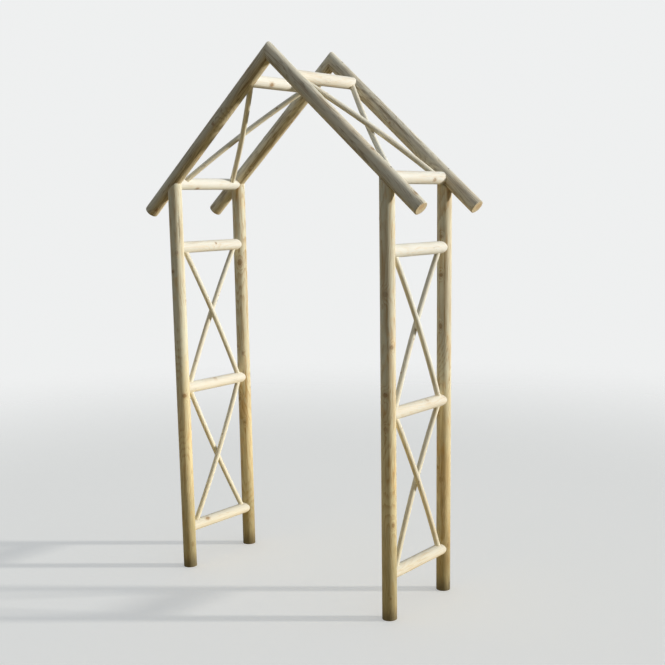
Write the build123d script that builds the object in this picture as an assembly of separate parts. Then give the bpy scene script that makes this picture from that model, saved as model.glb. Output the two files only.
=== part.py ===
"""Rustic garden arch of round softwood poles, in millimetres.

The frame has its origin on the ground at the middle of the passage. +X runs to the
right across the passage, +Y to the rear along it, and +Z up. Four posts stand at the
corners, and two pairs of rafters sit on them and meet in a mitre over the passage.
Thinner rails tie the front frame to the rear one, and thin braces cross in each side
bay and in each roof slope.
"""
from build123d import *
import math
import os

# Overall places of the frame
post_spacing = 1200.0        # across the passage, post centre to post centre
frame_depth = 440.0          # front post centre to rear post centre
eaves_height = 1880.0        # where the rafter's centre line crosses the post's
roof_pitch = 41.0            # degrees from level
rafter_length = 1010.0       # along the centre line, apex to square-cut end

# Poles
post_diameter = 65.0
rafter_diameter = 65.0
rail_diameter = 55.0
brace_diameter = 25.0

# Rails, by their centre lines
bottom_rail_height = 200.0
middle_rail_height = 895.0
upper_rail_drop = 310.0      # below the eaves height
eaves_rail_drop = 15.0       # below the eaves height
ridge_rail_from_apex = 165.0  # along the rafter's centre line

# Joints
seat_depth = 6.0             # how far a post's sloping top is let into its rafter
side_brace_corner = 55.0     # post's centre line to brace's, at the rail's near side
roof_brace_foot = 66.0       # rafter's centre line to brace's, at the eaves rail
roof_brace_head = 38.0       # rafter's centre line to brace's, at the ridge rail
brace_passing_gap = 0.6      # between two braces where they bow past each other
rafter_end_chamfer = 2.0     # worn arris of the rafter's lower end

# Worked-out values
rafter_radius = rafter_diameter / 2
rail_radius = rail_diameter / 2
pitch = math.radians(roof_pitch)
half_spacing = post_spacing / 2
half_depth = frame_depth / 2
apex_height = eaves_height + half_spacing * math.tan(pitch)
seat_distance = rafter_radius - seat_depth
brace_bow = (brace_diameter + brace_passing_gap) / 2
cutter_size = 4 * (post_diameter + rafter_diameter)  # wider than any pole it cuts

SIDES = {"left": -1, "right": 1}
ENDS = {"front": -1, "rear": 1}

UPRIGHT = (Align.CENTER, Align.CENTER, Align.MIN)


def pole(start, end, diameter):
    """A round pole with square ends, its centre line from start to end."""
    run = end - start
    return Plane(origin=start, z_dir=run) * Cylinder(diameter / 2, run.length, align=UPRIGHT)


def bowed_pole(start, end, bow, diameter):
    """A round pole that bends in an arc from start to end, its middle moved by bow."""
    arc = ThreePointArc(start, (start + end) / 2 + bow, end)
    return sweep(Plane(origin=start, z_dir=arc % 0) * Circle(diameter / 2), path=arc)


def cut_in_turn(blank, cutters):
    """The blank with one cutter after another taken from it."""
    for cutter in cutters:
        blank = blank - cutter
    return blank.solid()


def slope_direction(side):
    """Unit vector down the roof slope, away from the apex."""
    return Vector(side * math.cos(pitch), 0, -math.sin(pitch))


def slope_normal(side):
    """Unit vector square to the roof slope, pointing out and up."""
    return Vector(side * math.sin(pitch), 0, math.cos(pitch))


def apex_point(end):
    """Where a pair of rafters' centre lines meet."""
    return Vector(0, end * half_depth, apex_height)


def eaves_point(side, end):
    """Where a rafter's centre line crosses its post's."""
    return Vector(side * half_spacing, end * half_depth, eaves_height)


def foot_point(side, end):
    """The middle of a post's foot."""
    return Vector(side * half_spacing, end * half_depth, 0)


def whole_post(side, end):
    """A post's round pole, run on up through its rafter."""
    top = eaves_point(side, end) + Vector(0, 0, post_diameter)
    return pole(foot_point(side, end), top, post_diameter)


def make_post(side, end):
    """A post with its top cut to the roof's slope, under the rafter."""
    seat = eaves_point(side, end) - slope_normal(side) * seat_distance
    waste = Plane(origin=seat, z_dir=slope_normal(side)) * Box(
        cutter_size, cutter_size, cutter_size, align=UPRIGHT)
    return (whole_post(side, end) - waste).solid()


def whole_rafter(side, end):
    """A rafter's round pole, run past the apex, with its lower end square."""
    down = slope_direction(side)
    start = apex_point(end) - down * rafter_diameter
    finish = apex_point(end) + down * rafter_length
    return pole(start, finish, rafter_diameter)


def make_rafter(side, end, post):
    """A rafter mitred at the apex, and housed over the post's top."""
    blank = whole_rafter(side, end)
    rim = blank.edges().sort_by(Axis.Z)[0]
    blank = chamfer(rim, rafter_end_chamfer)
    beyond = Location((0, end * half_depth, apex_height)) * Box(
        cutter_size, cutter_size, cutter_size,
        align=(Align.MAX if side > 0 else Align.MIN, Align.CENTER, Align.CENTER))
    return (blank - beyond - post).solid()


def side_rail_axis(side, height):
    """Front and rear ends of a side rail's centre line, on the posts' centre lines."""
    return [Vector(side * half_spacing, end * half_depth, height) for end in ENDS.values()]


def ridge_rail_axis(side):
    """Front and rear ends of a ridge rail's centre line, on the rafters' centre lines."""
    return [apex_point(end) + slope_direction(side) * ridge_rail_from_apex for end in ENDS.values()]


def make_rail(axis, carriers):
    """A rail coped at both ends to the posts, and then trimmed to the rafters."""
    return cut_in_turn(pole(axis[0], axis[1], rail_diameter), carriers)


def make_brace(low_axis, high_axis, corners, carriers, rises_to, lift):
    """A thin brace across a bay between two rails, coped to them and to their carriers.

    corners are its foot's and its head's distance along the rails from the posts' or
    rafters' centre lines. rises_to is the end, front or rear, that its head lies at.
    lift is how far it bows from the bay's middle plane, towards +X, to pass the other
    brace of its bay.
    """
    low = low_axis[0]
    high = high_axis[0]
    up = Vector(high.X - low.X, 0, high.Z - low.Z)
    height = up.length
    up = up.normalized()
    rightward = Vector(0, 1, 0).cross(up)
    foot_corner, head_corner = corners
    foot = Vector(low.X, rises_to * (foot_corner - half_depth), low.Z) + up * rail_radius
    head = Vector(high.X, rises_to * (half_depth - head_corner), high.Z) - up * rail_radius
    run_on = (head - foot) * (rail_radius / (height - rail_diameter))
    brace = bowed_pole(foot - run_on, head + run_on, rightward * lift, brace_diameter)
    rails = [pole(axis[0], axis[1], rail_diameter) for axis in (low_axis, high_axis)]
    return cut_in_turn(brace, rails + carriers)


nodes = {}

for side_name, side in SIDES.items():
    for end_name, end in ENDS.items():
        post = make_post(side, end)
        nodes[f"post_{end_name}_{side_name}"] = post
        nodes[f"rafter_{end_name}_{side_name}"] = make_rafter(side, end, post)

rail_heights = {
    "bottom": bottom_rail_height,
    "middle": middle_rail_height,
    "upper": eaves_height - upper_rail_drop,
    "eaves": eaves_height - eaves_rail_drop,
}
side_corners = (side_brace_corner, side_brace_corner)
bays = {
    "lower": ("bottom", "middle", side_corners),
    "upper": ("middle", "upper", side_corners),
    "roof": ("eaves", "ridge", (roof_brace_foot, roof_brace_head)),
}
# Which brace of each crossing pair lies nearer the right, by the end it rises to
right_hand_brace = {
    ("left", "lower"): "rear",
    ("left", "upper"): "front",
    ("left", "roof"): "front",
    ("right", "lower"): "front",
    ("right", "upper"): "front",
    ("right", "roof"): "front",
}

for side_name, side in SIDES.items():
    carriers = [whole_post(side, end) for end in ENDS.values()]
    carriers += [whole_rafter(side, end) for end in ENDS.values()]
    axes = {name: side_rail_axis(side, height) for name, height in rail_heights.items()}
    axes["ridge"] = ridge_rail_axis(side)
    for name, axis in axes.items():
        nodes[f"rail_{name}_{side_name}"] = make_rail(axis, carriers)

    for bay, (low_name, high_name, corners) in bays.items():
        for rise_name, rises_to in ENDS.items():
            on_right = right_hand_brace[side_name, bay] == rise_name
            lift = brace_bow if on_right else -brace_bow
            nodes[f"brace_{bay}_{side_name}_rising_{rise_name}"] = make_brace(
                axes[low_name], axes[high_name], corners, carriers, rises_to, lift)

os.makedirs("parts", exist_ok=True)
for name, solid in nodes.items():
    solid.label = name
    export_step(solid, f"parts/{name}.step")
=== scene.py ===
"""Dresses a rustic garden arch of round softwood poles for its pictures.

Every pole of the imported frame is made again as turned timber: its ends are cut to the
poles that carry it, its skin is slightly uneven, and it has knots, drying checks, end
grain and weathering. All places are in metres, with the origin on the ground at the
middle of the passage, +X to the right, +Y to the rear and +Z up.
"""
import logging
import math
import random
from collections.abc import Iterator
from dataclasses import dataclass, field
from enum import Enum
from itertools import count

import bpy
from mathutils import Matrix, Vector


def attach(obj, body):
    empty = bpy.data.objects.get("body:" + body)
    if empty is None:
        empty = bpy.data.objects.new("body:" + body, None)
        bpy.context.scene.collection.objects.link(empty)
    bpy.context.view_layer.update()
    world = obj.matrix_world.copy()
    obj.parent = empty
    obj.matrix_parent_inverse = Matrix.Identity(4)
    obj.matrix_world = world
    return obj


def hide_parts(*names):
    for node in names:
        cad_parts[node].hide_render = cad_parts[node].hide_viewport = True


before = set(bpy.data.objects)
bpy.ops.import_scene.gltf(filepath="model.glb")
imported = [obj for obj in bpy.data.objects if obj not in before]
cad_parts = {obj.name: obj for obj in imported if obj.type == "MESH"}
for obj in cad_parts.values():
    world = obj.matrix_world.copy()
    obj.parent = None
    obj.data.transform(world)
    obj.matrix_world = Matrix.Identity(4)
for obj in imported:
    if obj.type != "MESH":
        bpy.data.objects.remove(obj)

log = logging.getLogger("garden_arch")

X_AXIS = Vector((1.0, 0.0, 0.0))
Y_AXIS = Vector((0.0, 1.0, 0.0))
Z_AXIS = Vector((0.0, 0.0, 1.0))

Colour = tuple[float, float, float]
Sockets = dict[str, list[str]]


class Way(Enum):
    """A way along one axis, by its sign."""

    @property
    def word(self) -> str:
        """The way's name as the nodes spell it."""
        return self.name.lower()


class Side(Way):
    """The two sides of the passage, by the sign of X."""

    LEFT = -1
    RIGHT = 1


class End(Way):
    """The two ends of the passage, by the sign of Y."""

    FRONT = -1
    REAR = 1


class Field:
    """One node's output, with arithmetic that adds nodes after it."""

    def __init__(self, graph: "Graph", socket: bpy.types.NodeSocket) -> None:
        """Keeps the socket and the graph that it belongs to."""
        self.graph = graph
        self.socket = socket

    @property
    def is_vector(self) -> bool:
        """Whether the value has three parts."""
        return self.socket.type in {"VECTOR", "RGBA"}

    def __add__(self, other: "Value") -> "Field":
        """The sum of two values."""
        return self.graph.combine("ADD", self, other)

    def __radd__(self, other: "Value") -> "Field":
        """The sum, where the plain number comes first."""
        return self.graph.combine("ADD", other, self)

    def __sub__(self, other: "Value") -> "Field":
        """The difference of two values."""
        return self.graph.combine("SUBTRACT", self, other)

    def __rsub__(self, other: "Value") -> "Field":
        """The difference, where the plain number comes first."""
        return self.graph.combine("SUBTRACT", other, self)

    def __mul__(self, other: "Value") -> "Field":
        """The product, which scales a vector where the other value is a number."""
        if self.is_vector and not self.graph.has_parts(other):
            return self.graph.vector("SCALE", self, other)
        if not self.is_vector and self.graph.has_parts(other):
            return self.graph.vector("SCALE", other, self)
        return self.graph.combine("MULTIPLY", self, other)

    def __truediv__(self, other: "Value") -> "Field":
        """The quotient of two values."""
        return self.graph.combine("DIVIDE", self, other)

    def __abs__(self) -> "Field":
        """The value without its sign."""
        return self.graph.maths("ABSOLUTE", self)

    def dot(self, other: "Value") -> "Field":
        """The scalar product of two vectors."""
        return self.graph.vector("DOT_PRODUCT", self, other)

    def parts(self) -> "list[Field]":
        """The vector's three parts."""
        node = self.graph.add("ShaderNodeSeparateXYZ", {"Vector": self})
        return [Field(self.graph, socket) for socket in node.outputs]


Value = Field | float | int | Vector | tuple
Feeds = dict[str | int, Value]


class Graph:
    """A node tree, and short ways to add nodes to it."""

    def __init__(self, tree: bpy.types.NodeTree) -> None:
        """Starts on a tree that has its sockets."""
        self.tree = tree

    @classmethod
    def group(cls, name: str, kind: str, inputs: Sockets, outputs: Sockets) -> "Graph":
        """Starts a node group with named sockets.

        Args:
            name: the group's name.
            kind: the type of tree.
            inputs: the inputs' names, by the type of socket.
            outputs: the outputs' names, by the type of socket.

        Returns:
            The graph, with its input and output nodes in place.
        """
        graph = cls(bpy.data.node_groups.new(name, kind))
        for sockets, way in ((inputs, "INPUT"), (outputs, "OUTPUT")):
            for socket_type, names in sockets.items():
                for socket_name in names:
                    graph.tree.interface.new_socket(
                        name=socket_name, in_out=way, socket_type=f"NodeSocket{socket_type}")
        graph.source = graph.tree.nodes.new("NodeGroupInput")
        graph.sink = graph.tree.nodes.new("NodeGroupOutput")
        return graph

    def __getitem__(self, name: str) -> Field:
        """The group's input of that name."""
        return Field(self, self.source.outputs[name])

    def give(self, **values: Value) -> bpy.types.NodeTree:
        """Sends values to the group's outputs, and gives the finished tree."""
        for name, value in values.items():
            self.feed(self.sink.inputs[name], value)
        return self.tree

    def feed(self, socket: bpy.types.NodeSocket, value: Value) -> None:
        """Links or sets one input socket."""
        if isinstance(value, Field):
            self.tree.links.new(value.socket, socket)
        elif socket.type == "RGBA" and len(value) == 3:
            socket.default_value = (*value, 1.0)
        else:
            socket.default_value = value

    def feed_all(self, node: bpy.types.Node, values: Feeds) -> None:
        """Feeds a node's inputs, by name or number."""
        for key, value in values.items():
            self.feed(node.inputs[key], value)

    def add(self, kind: str, values: Feeds | None = None, **settings: object) -> bpy.types.Node:
        """Adds a node, sets its properties and feeds its inputs.

        Args:
            kind: the node's type.
            values: what goes to each input, by name or number.
            settings: the node's own properties.

        Returns:
            The node.
        """
        node = self.tree.nodes.new(kind)
        for name, setting in settings.items():
            setattr(node, name, setting)
        self.feed_all(node, values or {})
        return node

    def out(self, node: bpy.types.Node, key: str | int = 0) -> Field:
        """One of a node's outputs."""
        return Field(self, node.outputs[key])

    def get(self, kind: str, values: Feeds | None = None, key: str | int = 0, **settings: object) -> Field:
        """Adds a node as add does, and gives one of its outputs."""
        return self.out(self.add(kind, values, **settings), key)

    def has_parts(self, value: Value) -> bool:
        """Whether a value is a vector."""
        return value.is_vector if isinstance(value, Field) else not isinstance(value, (int, float))

    def maths(self, operation: str, *values: Value) -> Field:
        """Adds a Math node."""
        return self.get("ShaderNodeMath", dict(enumerate(values)), operation=operation)

    def vector(self, operation: str, *values: Value) -> Field:
        """Adds a Vector Math node, whose scale and single result have sockets of their own."""
        keys = (0, "Scale") if operation == "SCALE" else range(len(values))
        key = "Value" if operation in {"DOT_PRODUCT", "LENGTH"} else "Vector"
        return self.get("ShaderNodeVectorMath", dict(zip(keys, values)), key, operation=operation)

    def combine(self, operation: str, first: Value, second: Value) -> Field:
        """Adds a Math or a Vector Math node, as the values call for."""
        if self.has_parts(first) or self.has_parts(second):
            return self.vector(operation, first, second)
        return self.maths(operation, first, second)

    def join(self, x: Value, y: Value, z: Value) -> Field:
        """A vector from three numbers."""
        return self.get("ShaderNodeCombineXYZ", {"X": x, "Y": y, "Z": z})

    def ramp(self, value: Value, low: Value, high: Value, start: Value = 0.0, finish: Value = 1.0) -> Field:
        """Runs smoothly from start to finish as a value goes from low to high."""
        return self.get("ShaderNodeMapRange", {
            "Value": value, "From Min": low, "From Max": high, "To Min": start, "To Max": finish},
            interpolation_type="SMOOTHSTEP")

    def noise(self, place: Value, scale: float, detail: float = 2.0, roughness: float = 0.5) -> Field:
        """A noise between 0 and 1, mostly near 0.5."""
        return self.get("ShaderNodeTexNoise", {
            "Vector": place, "Scale": scale, "Detail": detail, "Roughness": roughness})

    def blend(self, share: Value, first: Value, second: Value, way: str = "MIX") -> Field:
        """Mixes two colours."""
        feeds = {"Factor_Float": share, "A_Color": first, "B_Color": second}
        node = self.add("ShaderNodeMix", data_type="RGBA", blend_type=way)
        for socket in node.inputs:
            if socket.identifier in feeds:
                self.feed(socket, feeds[socket.identifier])
        return next(self.out(node, k) for k, socket in enumerate(node.outputs) if socket.type == "RGBA")

    def attribute(self, name: str, data_type: str) -> Field:
        """A named value that the points of a mesh carry."""
        return self.get("GeometryNodeInputNamedAttribute", {"Name": name}, data_type=data_type)

    def made_of(self, geometry: Field, material: Field) -> Field:
        """The geometry as plain meshes, in its material."""
        geometry = self.get("GeometryNodeRealizeInstances", {"Geometry": geometry})
        return self.get("GeometryNodeSetMaterial", {"Geometry": geometry, "Material": material})


class Shading(Graph):
    """A new material's node tree, round its Principled shader."""

    def __init__(self, name: str) -> None:
        """Makes the material."""
        self.material = bpy.data.materials.new(name)
        self.material.use_nodes = True
        super().__init__(self.material.node_tree)

    def shade(self, values: Feeds) -> bpy.types.Material:
        """Feeds the shader, and gives the finished material."""
        self.feed_all(self.tree.nodes["Principled BSDF"], values)
        return self.material


def add_object(name: str, data: bpy.types.ID) -> bpy.types.Object:
    """Adds an object at the origin to the scene."""
    added = bpy.data.objects.new(name, data)
    bpy.context.scene.collection.objects.link(added)
    return added


def add_points(name: str, places: list, values: dict[str, tuple[str, list[float]]]) -> bpy.types.Object:
    """Adds an object of loose points, for a tree to read.

    Args:
        name: the object's name.
        places: where the points are.
        values: what else they carry, as a type and the numbers in one row.

    Returns:
        The object.
    """
    mesh = bpy.data.meshes.new(name)
    mesh.from_pydata(places, [], [])
    for key, (data_type, numbers) in values.items():
        row = mesh.attributes.new(key, data_type, "POINT").data
        row.foreach_set("vector" if data_type == "FLOAT_VECTOR" else "value", numbers)
    return add_object(name, mesh)


@dataclass(frozen=True)
class ArchSizes:
    """The arch's driving sizes, as the solids have them."""

    post_spacing: float = 1.2
    frame_depth: float = 0.44
    eaves_height: float = 1.88
    roof_pitch: float = math.radians(41.0)
    rafter_length: float = 1.01
    post_radius: float = 0.0325
    rafter_radius: float = 0.0325
    rail_radius: float = 0.0275
    brace_radius: float = 0.0125
    bottom_rail_height: float = 0.2
    middle_rail_height: float = 0.895
    upper_rail_drop: float = 0.31
    eaves_rail_drop: float = 0.015
    ridge_rail_from_apex: float = 0.165
    seat_depth: float = 0.006
    side_brace_corner: float = 0.055
    roof_brace_foot: float = 0.066
    roof_brace_head: float = 0.038
    brace_passing_gap: float = 0.0006

    @property
    def apex_height(self) -> float:
        """Where the rafters' centre lines meet."""
        return self.eaves_height + self.post_spacing / 2 * math.tan(self.roof_pitch)

    @property
    def rail_heights(self) -> dict[str, float]:
        """The heights of the rails between two posts, by name."""
        return {
            "bottom": self.bottom_rail_height,
            "middle": self.middle_rail_height,
            "upper": self.eaves_height - self.upper_rail_drop,
            "eaves": self.eaves_height - self.eaves_rail_drop}

    def down_slope(self, side: Side) -> Vector:
        """Unit vector down the roof slope, away from the apex."""
        return Vector((side.value * math.cos(self.roof_pitch), 0.0, -math.sin(self.roof_pitch)))

    def off_slope(self, side: Side) -> Vector:
        """Unit vector square to the roof slope, out and up."""
        return Vector((side.value * math.sin(self.roof_pitch), 0.0, math.cos(self.roof_pitch)))

    def apex(self, end: End) -> Vector:
        """The meeting point of a pair of rafters' centre lines."""
        return Vector((0.0, end.value * self.frame_depth / 2, self.apex_height))

    def on_post(self, side: Side, end: End, height: float) -> Vector:
        """The point on a post's centre line at that height."""
        return Vector((side.value * self.post_spacing / 2, end.value * self.frame_depth / 2, height))

    def on_rail(self, name: str, side: Side, end: End) -> Vector:
        """One end of a rail's centre line."""
        if name == "ridge":
            return self.apex(end) + self.down_slope(side) * self.ridge_rail_from_apex
        return self.on_post(side, end, self.rail_heights[name])


@dataclass(frozen=True)
class Carrier:
    """A round pole that another pole's end is cut to."""

    point: Vector = field(default_factory=Vector)
    axis: Vector = field(default_factory=Z_AXIS.copy)
    radius: float = 0.0


@dataclass(frozen=True)
class Cut:
    """How one end of a pole is cut: a flat, carriers, and how far its arris is worn."""

    point: Vector
    normal: Vector
    carriers: tuple[Carrier, ...] = ()
    arris: float = 0.0012


@dataclass(frozen=True)
class Knot:
    """A knot in a pole's skin: its place along the pole, its angle in degrees and its half width."""

    along: float
    around: float
    size: float


@dataclass(frozen=True)
class Check:
    """A drying check: its angle in degrees, its two ends along the pole, its depth and half width."""

    around: float = 0.0
    start: float = 0.0
    finish: float = 0.0
    depth: float = 0.0
    width: float = 0.0009


KNOTS = {
    "post_front_left": (Knot(0.865, -35.0, 0.009), Knot(1.547, -48.0, 0.007), Knot(1.32, 40.0, 0.006)),
    "post_front_right": (Knot(1.4, -75.0, 0.011), Knot(0.985, -80.0, 0.01), Knot(0.84, -82.0, 0.008)),
    "post_rear_left": (Knot(1.48, -53.0, 0.012), Knot(1.018, -50.0, 0.006), Knot(0.66, -48.0, 0.007)),
    "post_rear_right": (Knot(1.45, -84.0, 0.008),),
    "rail_eaves_right": (Knot(0.32, 21.0, 0.007),),
    "rail_middle_left": (Knot(0.21, -60.0, 0.007),),
    "rail_middle_right": (Knot(0.275, -55.0, 0.008),),
    "rail_ridge_left": (Knot(0.13, 24.0, 0.008),),
    "rail_upper_left": (Knot(0.24, -28.0, 0.005),),
}
CHECKS = {"post_front_left": Check(-19.0, 1.59, 1.745, 0.006, 0.0011)}


@dataclass
class Pole:
    """One round pole, with all that its mesh is made from."""

    node: str
    foot: Vector
    head: Vector
    radius: float
    foot_cut: Cut
    head_cut: Cut
    seed: int
    knots: tuple[Knot, ...] = ()
    bow: Vector = field(default_factory=Vector)
    sides: int = 72
    ring_spacing: float = 0.008

    @property
    def along(self) -> Vector:
        """Unit vector from foot to head."""
        return (self.head - self.foot).normalized()

    @property
    def length(self) -> float:
        """The centre line's length."""
        return (self.head - self.foot).length

    @property
    def sideways(self) -> Vector:
        """Unit vector that angles round the pole start from, towards +X or the front."""
        reference = X_AXIS if abs(self.along.x) < 0.5 else -Y_AXIS
        return (reference - self.along * reference.dot(self.along)).normalized()


class PieceTree:
    """A geometry node tree that makes plain pieces from its named inputs."""

    def __init__(self, graph: Graph) -> None:
        """Notes how each input is called inside a modifier."""
        self.graph = graph
        self.identifiers = {
            item.name: item.identifier for item in graph.tree.interface.items_tree
            if item.item_type == "SOCKET" and item.in_out == "INPUT"}

    def bake(self, name: str, values: dict[str, object], points: bpy.types.Object) -> bpy.types.Object:
        """Runs the tree once.

        Args:
            name: the piece's name.
            values: what each input gets.
            points: the loose points that the tree reads, which are removed after it.

        Returns:
            The piece, as a plain mesh object at the origin.
        """
        piece = add_object(name, bpy.data.meshes.new(name))
        modifier = piece.modifiers.new(self.graph.tree.name, "NODES")
        modifier.node_group = self.graph.tree
        for key, value in values.items():
            modifier[self.identifiers[key]] = tuple(value) if isinstance(value, Vector) else value
        evaluated = piece.evaluated_get(bpy.context.evaluated_depsgraph_get())
        mesh = bpy.data.meshes.new_from_object(evaluated)
        piece.modifiers.clear()
        piece.data = mesh
        bpy.data.objects.remove(points)
        return piece


class PoleTree(PieceTree):
    """The geometry nodes that make one pole from its sizes."""

    ends = {"Foot": 1.0, "Head": -1.0}
    carriers_each_end = 2
    arris_steps = 2.0
    cap_rings = 10
    crowding = 0.72
    check_wander = 0.35
    wander_scale = 3.0
    far = 50.0
    skin_inset = 0.00005
    hollow_stretch = 0.14
    hollow_scale = 34.0
    raised_height = 0.0006
    raised_reach = (0.6, 1.7)
    least_width = 0.00001
    seed_step = 7.31

    def __init__(self) -> None:
        """Builds the cut group first, and then the tree that uses it."""
        self.round_cut = self.build_round_cut()
        super().__init__(self.build())

    def build_round_cut(self) -> bpy.types.NodeTree:
        """Builds the group that finds where a line along a pole meets a carrier's skin.

        Returns:
            The group. Its Way is 1 for where the line leaves the carrier and -1 for
            where it enters, and Missed is what comes out where there is no meeting.
        """
        graph = Graph.group("Cut to a round carrier", "GeometryNodeTree", {
            "Vector": ["Start", "Direction", "Point", "Axis"], "Float": ["Radius", "Way", "Missed"]},
            {"Float": ["Distance"]})
        direction, axis = graph["Direction"], graph["Axis"]
        radius, missed = graph["Radius"], graph["Missed"]
        across = direction - axis * direction.dot(axis)
        gap = graph["Start"] - graph["Point"]
        gap = gap - axis * gap.dot(axis)
        a = across.dot(across)
        b = gap.dot(across)
        c = gap.dot(gap) - radius * radius
        room = b * b - a * c
        root = graph.maths("SQRT", graph.maths("MAXIMUM", room, 0.0)) * graph["Way"]
        distance = (root - b) / a
        hit = graph.maths("GREATER_THAN", room, 0.0) * graph.maths("GREATER_THAN", radius, 0.0)
        return graph.give(Distance=missed + (distance - missed) * hit)

    def cut_line(self, graph: Graph, start: Field, direction: Field, end: str) -> Field:
        """Finds how far along a pole a straight line beside it is cut at one end.

        Args:
            graph: the tree that the nodes go into.
            start: the line's start, beside the pole's foot.
            direction: unit vector along the pole.
            end: the prefix of that end's inputs.

        Returns:
            The distance from the foot.
        """
        way = self.ends[end]
        normal = graph[f"{end} Cut Normal"]
        distance = (graph[f"{end} Cut Point"] - start).dot(normal) / direction.dot(normal)
        for number in range(self.carriers_each_end):
            met = graph.get("GeometryNodeGroup", {
                "Start": start, "Direction": direction, "Way": way, "Missed": -way * self.far,
                **{size: graph[f"{end} Carrier {number} {size}"] for size in ("Point", "Axis", "Radius")}},
                node_tree=self.round_cut)
            distance = graph.maths("MAXIMUM" if way > 0 else "MINIMUM", distance, met)
        return distance

    def bend(self, graph: Graph, share: Field) -> Field:
        """How far a bowed pole's centre line has moved at a share of its length."""
        return graph["Bow"] * (share * (1.0 - share) * 4.0)

    def rounding(self, graph: Graph, step: Field) -> Field:
        """The share of an arris's radius that a quarter round takes off at a step of 0 to 1."""
        rest = 1.0 - step
        return 1.0 - graph.maths("SQRT", graph.maths("MAXIMUM", 1.0 - rest * rest, 0.0))

    def from_knot(self, graph: Graph, place: Field) -> Field:
        """Finds where a point lies from its nearest knot.

        Args:
            graph: the tree that the nodes go into.
            place: the point, in the pole's own frame.

        Returns:
            Its distance across the knot, along the grain and in all, in the knot's half widths.
        """
        points = graph.get("GeometryNodeObjectInfo", {"Object": graph["Knots"]}, "Geometry")
        nearest = graph.get("GeometryNodeSampleNearest", {"Geometry": points, "Sample Position": place})
        knot, size = (
            graph.get("GeometryNodeSampleIndex", {"Geometry": points, "Value": value, "Index": nearest},
                      data_type=data_type, domain="POINT")
            for value, data_type in ((graph.get("GeometryNodeInputPosition"), "FLOAT_VECTOR"),
                                     (graph.attribute("size", "FLOAT"), "FLOAT")))
        x, y, _ = knot.parts()
        offset = place - knot
        tangent = graph.vector("NORMALIZE", graph.join(y * -1.0, x, 0.0))
        return graph.join(
            offset.dot(tangent) / size, offset.parts()[2] / size, graph.vector("LENGTH", offset) / size)

    def groove(self, graph: Graph, turn: Field, distance: Field) -> Field:
        """How deep a point lies in the drying check, as a share of the check's depth.

        Args:
            graph: the tree that the nodes go into.
            turn: the point's angle from the check's middle.
            distance: how far it lies along the pole.

        Returns:
            The share, which is 0 outside the check.
        """
        wrapped = graph.maths("ARCTAN2", graph.maths("SINE", turn), graph.maths("COSINE", turn))
        arc = abs(wrapped * graph["Radius"])
        start = graph["Check Start"]
        progress = (distance - start) / (graph["Check Finish"] - start)
        opening = graph.maths("MAXIMUM", progress * (1.0 - progress) * 4.0, 0.0)
        opening = graph.maths("SQRT", opening) * graph.maths("GREATER_THAN", graph["Check Depth"], 0.0)
        width = graph["Check Width"] * opening + self.least_width
        return graph.maths("MAXIMUM", 1.0 - arc / width, 0.0) * opening

    def build(self) -> Graph:
        """Builds the pole's tree.

        Returns:
            The graph, whose inputs are a pole's sizes.
        """
        inputs = {
            "Vector": ["Foot", "Head", "Sideways", "Bow"],
            "Float": ["Radius", "Ring Spacing", "Unevenness", "Seed", "Tone", "Check Angle",
                      "Check Start", "Check Finish", "Check Depth", "Check Width"],
            "Int": ["Sides"], "Object": ["Knots"], "Material": ["Timber"]}
        for end in self.ends:
            inputs["Vector"] += [f"{end} Cut Point", f"{end} Cut Normal"]
            inputs["Float"].append(f"{end} Arris")
            for number in range(self.carriers_each_end):
                inputs["Vector"] += [f"{end} Carrier {number} Point", f"{end} Carrier {number} Axis"]
                inputs["Float"].append(f"{end} Carrier {number} Radius")
        graph = Graph.group("Round pole", "GeometryNodeTree", inputs, {"Geometry": ["Geometry"]})
        foot, radius, sideways, seed = graph["Foot"], graph["Radius"], graph["Sideways"], graph["Seed"]
        run = graph["Head"] - foot
        length = graph.vector("LENGTH", run)
        direction = graph.vector("NORMALIZE", run)
        third = graph.vector("CROSS_PRODUCT", direction, sideways)
        rings = graph.maths("CEIL", length / graph["Ring Spacing"])
        blank = graph.add("GeometryNodeMeshCylinder", {
            "Vertices": graph["Sides"], "Side Segments": rings, "Fill Segments": self.cap_rings,
            "Radius": 1.0, "Depth": 1.0}, fill_type="TRIANGLE_FAN")
        x, y, z = graph.get("GeometryNodeInputPosition").parts()
        ring = graph.maths("ROUND", (z + 0.5) * rings)
        reach = graph.maths("SQRT", x * x + y * y)

        # Columns of points crowd round the check, which wanders with the grain
        drift = graph.noise(graph.join(0.0, seed, z * length), self.wander_scale, 1.0)
        centre = graph["Check Angle"] + (drift - 0.5) * self.check_wander
        turn = graph.maths("ARCTAN2", y, x) - centre
        turn = turn - graph.maths("SINE", turn) * self.crowding
        angle = turn + centre
        cosine, sine = graph.maths("COSINE", angle), graph.maths("SINE", angle)
        outward = sideways * cosine + third * sine

        # Each line along the skin is cut as if straight, and then where the bow has moved it
        start = foot + outward * (radius * reach)
        cuts = {}
        for end in self.ends:
            straight = self.cut_line(graph, start, direction, end)
            cuts[end] = self.cut_line(graph, start + self.bend(graph, straight / length), direction, end)
        low, high = cuts["Foot"], cuts["Head"]
        foot_arris, head_arris = graph["Foot Arris"], graph["Head Arris"]
        foot_step = graph.maths("MINIMUM", ring, self.arris_steps) / self.arris_steps
        head_step = graph.maths("MINIMUM", rings - ring, self.arris_steps) / self.arris_steps
        middle = (ring - self.arris_steps) / (rings - 2.0 * self.arris_steps)
        middle = graph.maths("MINIMUM", graph.maths("MAXIMUM", middle, 0.0), 1.0)
        distance = low + foot_arris * foot_step + head_arris * (1.0 - head_step)
        distance = distance + (high - low - foot_arris - head_arris) * middle
        worn = foot_arris * self.rounding(graph, foot_step) + head_arris * self.rounding(graph, head_step)

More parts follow.
